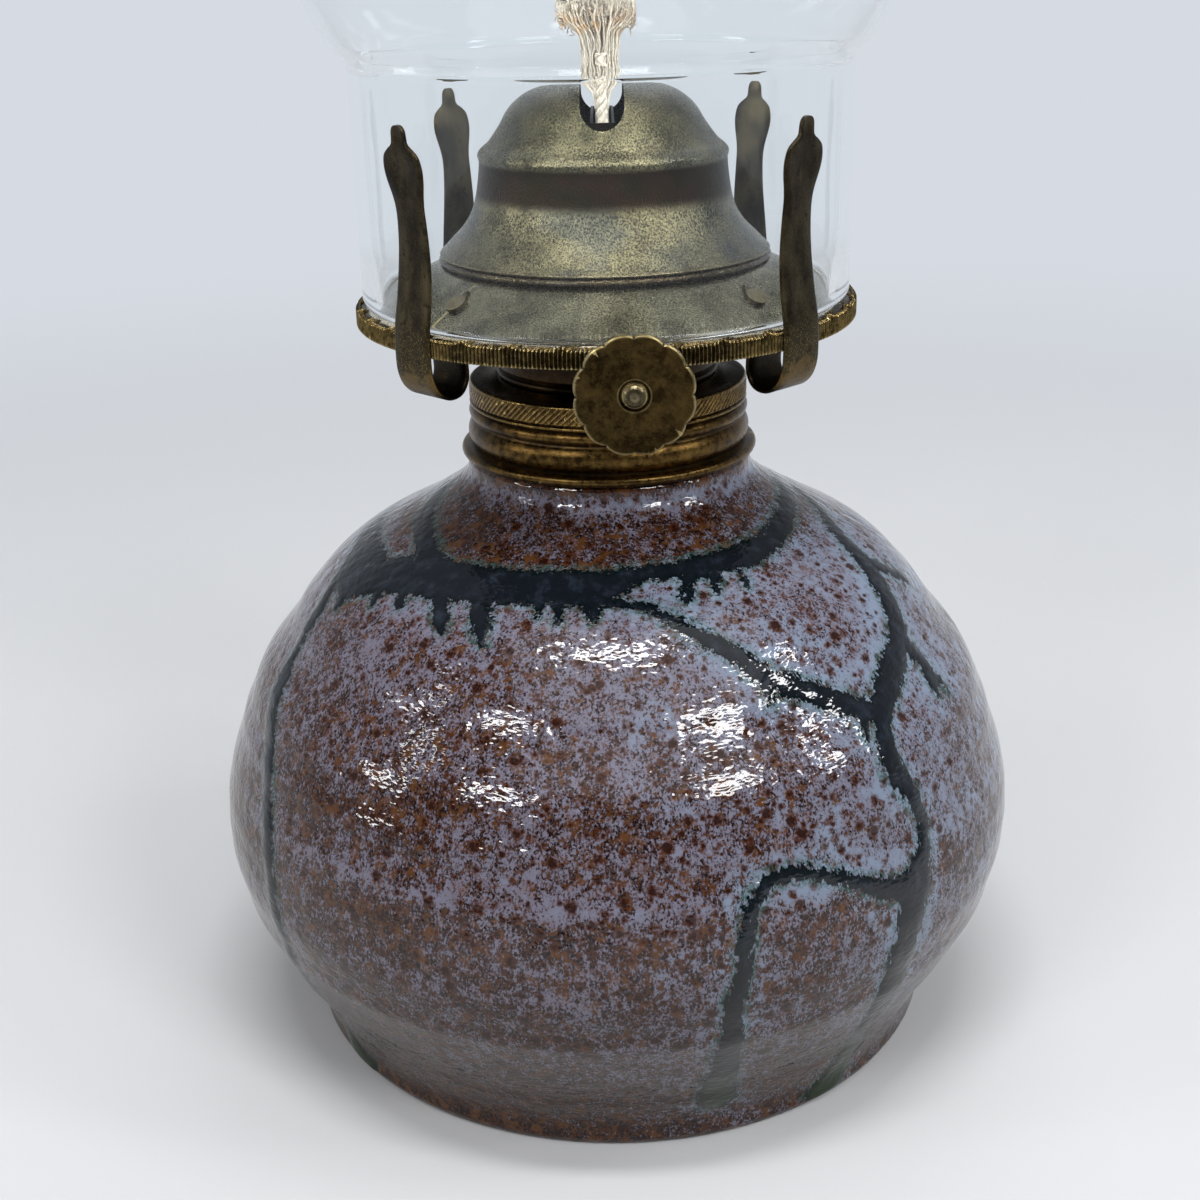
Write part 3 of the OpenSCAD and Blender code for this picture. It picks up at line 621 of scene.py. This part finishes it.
def make_font(finish):
    outer = font_outer()
    columns = 640
    rest = ([(LEDGE_R - 0.4, LEDGE_Z), (NECK_R, LEDGE_Z), (NECK_R, LIP_Z - 1.2)]
        + arc(NECK_R - 1.2, LIP_Z - 1.2, 1.2, 0, 90, 6) + arc(NECK_BORE_R + 1.2, LIP_Z - 1.2, 1.2, 90, 180, 6)
        + font_inner()[::-1])
    foot = [(0, 1.6), (20, 1.6), (42, 1.6), (43, 1.5), (44.6, 0.1), (44.9, 0), (52.6, 0)] + arc(52.9, 1.1, 1.1, -90, -10, 5)
    outline = foot + outer + rest + [(0, 8)]
    dice = random.Random(4)
    waves = [(pitch, dice.uniform(0, TURN), size) for pitch, size in ((4.3, 0.02), (5.9, 0.035), (7.7, 0.05),
        (9.6, 0.06), (13, 0.06), (17, 0.07))]

    def thrown(r, z, angle):
        """Throwing rings: shallow ridges that climb a little as they go round."""
        climb = z + 3 + 1.6 * angle / TURN
        ridge = sum(size * np.sin(TURN * climb / pitch + phase + 0.25 * np.sin(2 * angle + phase))
            for pitch, phase, size in waves)
        outside = np.zeros_like(z)
        outside[len(foot):len(foot) + len(outer)] = 1
        fade = outside * np.clip((z - 4) / 8, 0, 1) * np.clip((96.5 - z) / 3, 0, 1)
        return r + ridge * fade - 0.12 * fade, z

    points, faces = turned(outline, columns, thrown, closed=False)
    depth = np.full(len(points), -30.0)
    skin = slice(len(foot) * columns - columns, (len(foot) + len(outer)) * columns)
    depth[skin] = glaze_depth(points[skin] / MM, outer)
    out = points[skin] * [1, 1, 0]
    out /= np.linalg.norm(out, axis=1)[:, None]
    thick = 0.34 / (1 + np.exp(-2.4 * (depth[skin] - 0.3)))
    points[skin] += out * (thick[:, None] - 0.06) * MM
    made = piece("glazed_font", points, faces, "font", finish, sharp=50)
    layer = made.data.attributes.new("drip", "FLOAT", "POINT")
    layer.data.foreach_set("value", depth.astype(np.float32))
    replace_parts(made, "stoneware_font")


# The brass collar and burner
def roll(z, height, out, n=12):
    """A rounded roll of the collar, n + 1 points from its foot up."""
    return [(COLLAR_R - 0.45 + out * math.sin(math.pi * i / n) ** 0.7, z - height / 2 + height * i / n) for i in range(n + 1)]


def make_collar(finish):
    inner = COLLAR_R - 0.6
    band_low = LEDGE_Z + 9.5
    knurls = 140
    low = ([(inner, LEDGE_Z + 0.4)] + arc(COLLAR_R + 0.9, LEDGE_Z + 1, 0.8, 225, 410, 16)
        + [(COLLAR_R + 0.35, LEDGE_Z + 1.75)] + roll(LEDGE_Z + 4, 4.1, 0.95, 16) + roll(LEDGE_Z + 7.3, 2.2, 0.72)
        + arc(COLLAR_R - 0.2, LEDGE_Z + 8.85, 0.34, -80, 80, 8) + [(COLLAR_R - 0.22, LEDGE_Z + 9.25)])
    band = [(COLLAR_R + 0.06, z) for z in np.linspace(band_low, COLLAR_TOP_Z - 0.4, 14)]
    rest = ([(COLLAR_R + 0.02, COLLAR_TOP_Z - 0.2), (COLLAR_R - 0.14, COLLAR_TOP_Z - 0.02), (COLLAR_R - 0.4, COLLAR_TOP_Z),
        (COLLAR_R - 1.2, COLLAR_TOP_Z + 0.05),
        (BOWL_R + 1.2, COLLAR_TOP_Z), (BOWL_R + 0.4, COLLAR_TOP_Z + 0.5), (THREAD_R + 0.6, COLLAR_TOP_Z + 0.5),
        (THREAD_R + 0.1, COLLAR_TOP_Z)]
        + [(THREAD_R + (0.1 if i % 2 == 0 else 0.6), COLLAR_TOP_Z - 0.8 - i) for i in range(8)]
        + [(THREAD_R + 0.1, COLLAR_TOP_Z - 9), (THREAD_R + 1.2, COLLAR_TOP_Z - 9),
           (THREAD_R + 1.2, COLLAR_TOP_Z - 0.6), (inner, COLLAR_TOP_Z - 0.6)])

    def knurled(r, z, angle):
        rows = slice(len(low) + 1, len(low) + len(band) - 1)
        turn = knurls * angle - (z[rows] - band_low) * 6.6
        r[rows] += 0.26 * np.abs(np.sin(turn / 2)) ** 0.8 - 0.2
        return r, z

    points, faces = turned(low + band + rest, knurls * 8, knurled)
    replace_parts(piece("knurled_collar", points, faces, "font", finish, sharp=50), "collar")


def under_deck(point):
    return point[0] - DECK_T * math.sin(DECK_TILT), point[1] - DECK_T * math.cos(DECK_TILT)


def make_gallery(finish):
    flutes = 400
    crimps = 32
    rim_top = RIM_Z + RIM_H
    wall = ([(RIM_R - SHEET, RIM_Z), (RIM_R - 0.2, RIM_Z)]
        + [(RIM_R - 0.05, z) for z in np.linspace(RIM_Z + 0.2, rim_top - 0.45, 8)])
    lip = arc(RIM_R - 0.5, rim_top - 0.45, 0.45, 20, 150, 6)
    ledge = [(RIM_R - 1.1, SEAT_Z - 0.12), (RIM_R - 1.4, SEAT_Z - 0.05), (RIM_R - 1.8, SEAT_Z)]
    deck = [(36.9, SEAT_Z), (36.2, SEAT_Z), (35.8, SEAT_Z + 0.08), DECK_LOW, (34.5, SEAT_Z + 0.9)]
    slope = [(DECK_LOW[0] + (DECK_HIGH[0] - DECK_LOW[0]) * t, DECK_LOW[1] + (DECK_HIGH[1] - DECK_LOW[1]) * t)
        for t in (0.2, 0.4, 0.6, 0.8, 1)]
    inner = [(DOME_R - 0.4, DOME_Z), (FLANGE_R, DOME_Z), (FLANGE_R, DOME_Z + 0.9), (FLANGE_R - SHEET, DOME_Z + 0.9),
        (FLANGE_R - SHEET, DOME_Z - 0.6), under_deck(DECK_HIGH), under_deck(DECK_LOW), (36, SEAT_Z - 0.6),
        (RIM_R - 1.4, SEAT_Z - 0.6), (RIM_R - 0.8, SEAT_Z - 0.9), (RIM_R - SHEET, SEAT_Z - 1.3)]
    outline = wall + lip + ledge + deck + slope + inner
    edge = slice(1, len(wall) + 4)
    top = slice(len(wall) - 1, len(wall) + len(lip))
    behind = slice(len(wall) + len(lip) - 1, len(wall) + len(lip) + 2)

    def fluted(r, z, angle):
        """Flutes round the rim, and a pinch in its lip every few of them, with a dent beside it."""
        r[edge] += 0.3 * np.abs(np.cos(flutes * angle / 2)) ** 1.3 - 0.24
        z[top] += 0.1 * np.abs(np.cos(flutes * angle / 2))
        swing = ((angle - math.radians(-88)) * crimps / TURN + 0.5) % 1 - 0.5
        along = swing * TURN * RIM_R / crimps
        pinch = np.exp(-(along / 0.8) ** 2)
        z[top] += 0.45 * pinch
        r[top] -= 0.35 * pinch
        z[behind] -= 0.5 * np.exp(-((along - 1.1) / 0.9) ** 2)
        z += 0.05 * np.sin(3 * angle + 0.7) * np.clip((r - 34) / 5, 0, 1)
        return r, z

    points, faces = turned(outline, flutes * 6, fluted)
    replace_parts(piece("fluted_gallery", points, faces, "burner", finish, sharp=45), "gallery")


def make_dome(finish):
    side = smooth([(DOME_R - 1, DOME_Z + 2.5), (23.9, 132.8), (22.1, 134.6), (20.7, 136.8), (19.9, 139.4), (19.45, 142.4),
        (19.3, 144.4), (19.5, 145.5), (19, 146.3), (17.9, 147.2), (16.8, 148.6), (15.7, 150.2), (14.8, 151.7),
        (13.4, 153.2), (11.2, 154.6), (8, 155.5), (4, DOME_TOP_Z - 0.05), (0.6, DOME_TOP_Z)], 6)
    outer = (arc(DOME_R - 0.6, DOME_Z + 0.6, 0.6, -60, 40, 8)
        + [(DOME_R - 0.5, DOME_Z + 1.25), (DOME_R - 0.25, DOME_Z + 1.45), (DOME_R - 0.2, DOME_Z + 1.7),
           (DOME_R - 0.4, DOME_Z + 2)] + side)
    inner = [p for p in beside(side, SHEET) if p[0] > 0.2]
    outline = outer + inner[::-1] + [(FLANGE_R + 0.1, DOME_Z + 1), (FLANGE_R + 0.1, DOME_Z)]

    def hammered(r, z, angle):
        """The sheet is a little out of round."""
        sway = 0.05 * np.sin(2 * angle + z / 5) + 0.04 * np.sin(5 * angle - z / 3)
        return r + sway * np.clip((z - 131) / 4, 0, 1), z

    points, faces = turned(outline, 256, hammered)
    made = piece("slotted_dome", points, faces, "burner", finish)
    half = SLOT_W / 2
    side = arc(0, 150 + half, half, 180, 360, 24) + [(half, 160), (-half, 160)]
    count = len(side)
    cutter_points = [(x * MM, y * MM, z * MM) for y in (-25, 25) for x, z in side]
    cutter_faces = [tuple(range(count)), tuple(range(2 * count - 1, count - 1, -1))]
    cutter_faces += [(i, i + count, (i + 1) % count + count, (i + 1) % count) for i in range(count)]
    cutter_mesh = bpy.data.meshes.new("slot_cutter")
    cutter_mesh.from_pydata(cutter_points, [], cutter_faces)
    cutter = bpy.data.objects.new("slot_cutter", cutter_mesh)
    bpy.context.scene.collection.objects.link(cutter)
    cut = made.modifiers.new("slot", "BOOLEAN")
    cut.operation = "DIFFERENCE"
    cut.object = cutter
    cut.solver = "EXACT"
    finished = bpy.data.meshes.new_from_object(made.evaluated_get(bpy.context.evaluated_depsgraph_get()))
    made.modifiers.clear()
    made.data = finished
    finished.shade_smooth()
    finished.set_sharp_from_angle(angle=math.radians(35))
    bpy.data.objects.remove(cutter)
    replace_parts(made, "deflector_dome")


def foot_height(r):
    z = DECK_LOW[1] + (DECK_LOW[0] - r) * math.tan(DECK_TILT)
    return z - (DECK_T + CLINCH_ROOM + PRONG_T / 2) / math.cos(DECK_TILT)


def make_prong(place, finish):
    """A bent strip of brass: foot, bend, strip, spade and finger tip, with softened edges."""
    line = smooth([(CLINCH_R - 2, foot_height(CLINCH_R - 2)), (CLINCH_R, foot_height(CLINCH_R)),
        (CLINCH_R + 1.7, foot_height(CLINCH_R + 2.1)), (33.4, 121.8), (33.3, 118.8), (33.3, 116.5), (34.4, 114.6),
        (36.5, 114.1), (38.8, 115.3), (RIM_R + 0.4, 117.7), (RIM_R + 0.65, 121), (RIM_R + 0.5, 124.4), (FITTER_R + 0.95, 129),
        (FITTER_R + 0.48, 134), (FITTER_R + 0.5, 138.6), (FITTER_R + 0.85, 142.4), (FITTER_R + 1.5, 146.4),
        (FITTER_R + 1.9, 149.4), (FITTER_R + 2.2, 152.9)], 10)
    edge = smooth([(PRONG_W / 2, 112), (PRONG_W / 2, 119), (PRONG_W / 2 - 0.1, 126), (3.5, 132), (3.1, 137.5), (2.95, 141),
        (3.2, 143), (3.8, 145.2), (4, 147), (3.6, 148.7), (2.5, 149.7), (1.6, 150.3), (1.4, 151.1), (1.3, 152),
        (1, 152.6), (0.5, 152.9)], 8)
    heights = [z for x, z in edge]
    halves = [x for x, z in edge]
    run = np.array(line)
    normal = np.array(beside(line, 1.0)) - run
    across = np.array([(-1, 0), (-0.96, 0.7), (-0.88, 1), (-0.5, 1), (0, 1), (0.5, 1), (0.88, 1), (0.96, 0.7),
        (1, 0), (0.96, -0.7), (0.88, -1), (0.5, -1), (0, -1), (-0.5, -1), (-0.88, -1), (-0.96, -0.7)])
    rows = []
    for (r, z), (nr, nz) in zip(run, normal):
        half = np.interp(z, heights, halves)
        swell = 0.3 * np.exp(-((z - 146.6) / 2.6) ** 2) + 0.35 * np.exp(-((z - 151.6) / 1.1) ** 2)
        for share, side in across:
            lift = side * PRONG_T / 2 + swell * (1 - share * share)
            rows.append((r + nr * lift, share * half, z + nz * lift))
    points = np.array(rows)
    turn = math.radians(PRONG_TURN[place])
    x = points[:, 0] * math.cos(turn) - points[:, 1] * math.sin(turn)
    y = points[:, 0] * math.sin(turn) + points[:, 1] * math.cos(turn)
    n = len(across)
    faces = [tuple(f[::-1]) for f in grid_faces(len(run), n)]
    faces.append(tuple(range(n)))
    faces.append(tuple(range((len(run) - 1) * n, len(run) * n))[::-1])
    made = piece("spring_prong_" + place, np.stack([x, y, points[:, 2]], -1) * MM, faces, place + "_prong",
        finish, sharp=50)
    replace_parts(made, "prong_" + place)


def make_thumb_wheel(finish):
    """Scalloped disc with a rubbed edge, a hub ring and slightly dished petals."""
    front = [(SHAFT_R, 0.9), (1.7, 0.9), (1.85, 0.8), (2.0, 0.72), (2.15, 0.98), (2.3, 1.04), (2.5, 1.0), (3.2, 0.86),
        (4.4, 0.76), (5.8, 0.74), (7, 0.8), (7.7, 0.92), (8.05, 1.02), (8.25, 1.04), (8.42, 0.94), (KNOB_R, 0.7)]
    back = [(KNOB_R, 0.35), (8.3, 0.1), (7.8, 0), (5, 0), (3, 0), (SHAFT_R, 0)]
    outline = [(r, t) for r, t in front + back]

    def scalloped(r, t, angle):
        lobe = 1 - np.abs(np.sin(6 * angle)) ** 0.6
        out = np.clip((r - 5) / (KNOB_R - 5), 0, 1)
        return r - 0.5 * lobe * out, t - 0.1 * lobe * out * (t > 0.5)

    points, faces = turned(outline[::-1], 360, scalloped)
    placed = np.stack([points[:, 0] + SHAFT_X * MM, -points[:, 2] - KNOB_Y * MM, points[:, 1] + SHAFT_Z * MM], -1)
    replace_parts(piece("scalloped_wheel", placed, faces, "raiser", finish), "thumb_wheel")


def make_chimney(finish):
    outer = smooth([(FITTER_R, GLASS_LOW_Z + 1.4), (FITTER_R, 140), (FITTER_R, 150), (FITTER_R, 157.6), (FITTER_R + 0.06, 158.7),
        (FITTER_R + 0.45, 159.8), (FITTER_R + 2.4, 162.2), (FITTER_R + 5.2, 167), (BULB_R - 3, 176.4),
        (BULB_R - 0.4, 187), (BULB_R, 195), (BULB_R - 2, 208), (BULB_R - 8, 226), (BULB_R - 14.5, 248),
        (BULB_R - 19.2, 272), (MOUTH_R + 1.8, 296), (MOUTH_R + 0.4, 315), (MOUTH_R, 326)], 8)
    outer += [(MOUTH_R, 327), (MOUTH_R, GLASS_TOP_Z - GLASS_T / 2)]
    inner = beside([p for p in outer if p[1] > GLASS_LOW_Z + 9], GLASS_T)
    outline = (arc(FITTER_R - 1.2, GLASS_LOW_Z + 1.2, 1.2, -90, 0, 8) + outer
        + arc(MOUTH_R - GLASS_T / 2, GLASS_TOP_Z - GLASS_T / 2, GLASS_T / 2, 0, 180, 12) + inner[::-1]
        + [(FITTER_R - GLASS_T - 0.1, GLASS_LOW_Z + 7), (FITTER_R - GLASS_T - 0.4, GLASS_LOW_Z + 4),
           (FITTER_R - GLASS_T - 0.5, GLASS_LOW_Z + 2)] + arc(FITTER_R - 1.4, GLASS_LOW_Z + 1, 1, 180, 270, 8))
    points, faces = turned(outline, 256)
    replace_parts(piece("glass_chimney", points, faces, "glass_chimney", finish, sharp=60), "chimney")


def make_wick(finish):
    """A woven flat wick with a twisted edge yarn, and its unburnt end frayed into a wide tuft."""
    parts = []
    dice = random.Random(11)
    half = WICK_W / 2
    rows = 180
    heights = np.linspace(WICK_LOW_Z, 157, rows)
    loop = [(math.cos(a), math.sin(a)) for a in np.arange(72) * TURN / 72]
    body = []
    for z in heights:
        for c, s in loop:
            y = (half - 0.5) * math.copysign(abs(s) ** 0.35, s)
            plait = 0.12 * math.sin(TURN * z / 2.2 + abs(y) * 2.4) + 0.06 * math.sin(TURN * y / 1.6)
            x = math.copysign(abs(c) ** 0.5, c) * (WICK_T / 2 - 0.2 + plait)
            body.append((x, y, z))
    faces = [tuple(f) for f in grid_faces(rows, len(loop))]
    faces.append(tuple(range(len(loop)))[::-1])
    faces.append(tuple(range((rows - 1) * len(loop), rows * len(loop))))
    parts.append((np.array(body) * MM, faces))
    for y in (-half + 0.55, half - 0.55):
        for ply in range(3):
            z = np.linspace(140, 160, 90)
            a = TURN * (z / 4.2 + ply / 3)
            path = np.stack([0.5 * np.cos(a), y + 0.35 * np.sin(a), z], -1)
            parts.append(tube(path, np.full(len(z), 0.42), 7))
    levels = (153, 155, 156.4, 158, 160, 162, 163.6, 164.8, 166.2, 168.2, 170.3)
    spread = {1: (1, 1.2, 2.4, 2.6, 2.6, 2.7, 3.2, 4.8, 5.9, 6.2, 4.2), -1: (1, 1.3, 2.7, 2.9, 2.9, 3, 3.7, 5.4, 6.4, 6.6, 4.4)}
    for i in range(900):
        y = dice.uniform(-half + 0.4, half - 0.4)
        sign = dice.choice((-1, 1))
        share = dice.random() ** 0.6
        curl = dice.uniform(-1.2, 1.2)
        top = 170.2 - 2.2 * share ** 3 - dice.random() * 3
        sway, phase = dice.uniform(0.1, 0.5), dice.uniform(0, TURN)
        path = [(sign * share * reach * 0.92 + sway * (z - 153) / 12 * math.sin(z / 1.1 + phase),
            max(-half, min(half, y + curl * ((z - 153) / 12) ** 2)), z)
            for z, reach in zip(levels, spread[sign]) if z < top]
        path = smooth(path + [(path[-1][0] + curl * 0.4, path[-1][1], top)], 3)
        thick = dice.uniform(0.12, 0.24)
        parts.append(tube(path, np.linspace(thick, thick * 0.45, len(path)), 5))
    for i in range(1500):
        x, y, z = dice.uniform(-1, 1) * 6, dice.uniform(-half + 0.6, half - 0.6), dice.uniform(164.4, 170)
        path = [(x, y, z)]
        for k in range(4):
            path.append(tuple(c + dice.uniform(-0.8, 0.8) for c in path[-1]))
        parts.append(tube(smooth(path, 3), np.full(13, dice.uniform(0.05, 0.11)), 4))
    points, faces = joined(parts)
    low, high = (np.array(c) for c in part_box("wick"))
    points = np.clip(points, low, high)
    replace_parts(piece("cotton_wick", points, faces, "wick_strip", finish, sharp=60), "wick")


def dress(node, finish):
    """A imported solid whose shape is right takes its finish."""
    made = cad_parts[node]
    made.data.materials.clear()
    made.data.materials.append(finish)
    made.data.shade_smooth()
    made.data.set_sharp_from_angle(angle=math.radians(32))


# Floor and lamps
def make_floor(finish):
    mesh = bpy.data.meshes.new("floor")
    mesh.from_pydata([(-8, -8, 0), (8, -8, 0), (8, 8, 0), (-8, 8, 0)], [], [(0, 1, 2, 3)])
    mesh.materials.append(finish)
    floor = bpy.data.objects.new("floor", mesh)
    bpy.context.scene.collection.objects.link(floor)


def window(name, compass, climb, width, height, glow):
    """A panel 1 m away, as bright as glow, that faces the lamp from a compass angle and a climb in degrees."""
    data = bpy.data.lights.new(name, "AREA")
    data.shape = "RECTANGLE"
    data.size = width
    data.size_y = height
    data.energy = glow * math.pi * width * height
    made = bpy.data.objects.new(name, data)
    bpy.context.scene.collection.objects.link(made)
    c, e = math.radians(compass), math.radians(climb)
    out = Vector((math.cos(c) * math.cos(e), math.sin(c) * math.cos(e), math.sin(e)))
    made.matrix_world = Matrix.Translation(Vector((0, 0, 0.1)) + out) @ out.to_track_quat("Z", "Y").to_matrix().to_4x4()


def light_studio():
    """Even light from a pale room with a darker ceiling, a broad soft light from above, and bright windows."""
    scene = bpy.context.scene
    scene.view_settings.view_transform = "Standard"
    world = bpy.data.worlds.new("studio")
    scene.world = world
    world.use_nodes = True
    tree = world.node_tree
    tree.nodes.clear()
    way = tree.nodes.new("ShaderNodeTexCoord")
    parts = tree.nodes.new("ShaderNodeSeparateXYZ")
    climb = tree.nodes.new("ShaderNodeValToRGB")
    climb.color_ramp.elements[0].color = (0.48, 0.50, 0.53, 1)
    climb.color_ramp.elements[1].position = 0.55
    climb.color_ramp.elements[1].color = (0.19, 0.20, 0.22, 1)
    rays = tree.nodes.new("ShaderNodeLightPath")
    through = tree.nodes.new("ShaderNodeMath")
    through.operation = "MAXIMUM"
    seen = tree.nodes.new("ShaderNodeMix")
    seen.data_type = "RGBA"
    seen.inputs[7].default_value = tone(214, 219, 227)
    dim = tree.nodes.new("ShaderNodeMapRange")
    for key, value in (("From Min", -0.6), ("From Max", 0.3), ("To Min", 0.25), ("To Max", 1)):
        dim.inputs[key].default_value = value
    level = tree.nodes.new("ShaderNodeMath")
    level.operation = "MAXIMUM"
    sky = tree.nodes.new("ShaderNodeBackground")
    out = tree.nodes.new("ShaderNodeOutputWorld")
    tree.links.new(way.outputs["Generated"], parts.inputs[0])
    tree.links.new(parts.outputs["Z"], climb.inputs[0])
    tree.links.new(rays.outputs["Is Camera Ray"], through.inputs[0])
    tree.links.new(rays.outputs["Is Transmission Ray"], through.inputs[1])
    tree.links.new(through.outputs[0], seen.inputs[0])
    tree.links.new(climb.outputs[0], seen.inputs[6])
    tree.links.new(seen.outputs[2], sky.inputs["Color"])
    tree.links.new(parts.outputs["Y"], dim.inputs["Value"])
    tree.links.new(dim.outputs[0], level.inputs[0])
    tree.links.new(through.outputs[0], level.inputs[1])
    tree.links.new(level.outputs[0], sky.inputs["Strength"])
    tree.links.new(sky.outputs[0], out.inputs["Surface"])
    sun = bpy.data.lights.new("soft_top", "SUN")
    sun.energy = 1.0
    sun.angle = math.radians(70)
    above = bpy.data.objects.new("soft_top", sun)
    scene.collection.objects.link(above)
    above.matrix_world = Vector((0.15, -0.35, 1)).to_track_quat("Z", "Y").to_matrix().to_4x4()
    window("window_front", -92, 74, 0.46, 0.10, 36)
    window("window_front_left", -127, 30, 0.27, 0.10, 32)
    window("window_front_right", -53, 35, 0.28, 0.15, 28)
    window("window_left", -163, 16, 0.20, 0.09, 24)
    window("window_left_high", -160, 33, 0.08, 0.08, 20)
    window("window_right", -20, 27, 0.12, 0.12, 28)
    window("window_right_high", -14, 43, 0.16, 0.07, 30)
    window("window_back", 80, 45, 0.6, 0.3, 2)



place_camera()
light_studio()
make_floor(floor_finish())

golden = brass_finish("collar_brass", tone(116, 90, 48), tone(34, 24, 12), tone(28, 18, 10), tone(184, 156, 96), 0.31,
    scratches=0.01)
knob = brass_finish("wheel_brass", tone(82, 66, 36), tone(27, 19, 9), tone(24, 15, 9), tone(178, 160, 112), 0.42,
    scratches=0.01, mottle_size=1.4)
bare = brass_finish("shaft_brass", tone(76, 69, 50), tone(36, 31, 22), tone(42, 30, 22), tone(116, 106, 80), 0.42)
dull = brass_finish("dark_brass", tone(44, 31, 26), tone(18, 14, 12), tone(34, 16, 15), tone(70, 56, 36), 0.45)
sooty = brass_finish("sooty_brass", tone(16, 13, 11), tone(8, 7, 6), tone(12, 9, 8), tone(30, 25, 18), 0.6)
make_font(glaze_finish())
make_collar(golden)
make_gallery(gallery_finish())
make_dome(dome_finish())
prong_brass = prong_finish()
for place in PRONG_TURN:
    make_prong(place, prong_brass)
make_thumb_wheel(knob)
make_chimney(glass_finish())
make_wick(cotton_finish())
dress("collar_cement", plaster_finish())
dress("prong_rivets", bare)
dress("raiser_shaft", bare)
dress("wick_tube", sooty)
for node in ("burner_base", "draft_plate", "vent_tube", "spur_housing", "shaft_sleeve",
        "spur_wheel_front", "spur_wheel_middle", "spur_wheel_rear"):
    dress(node, dull)
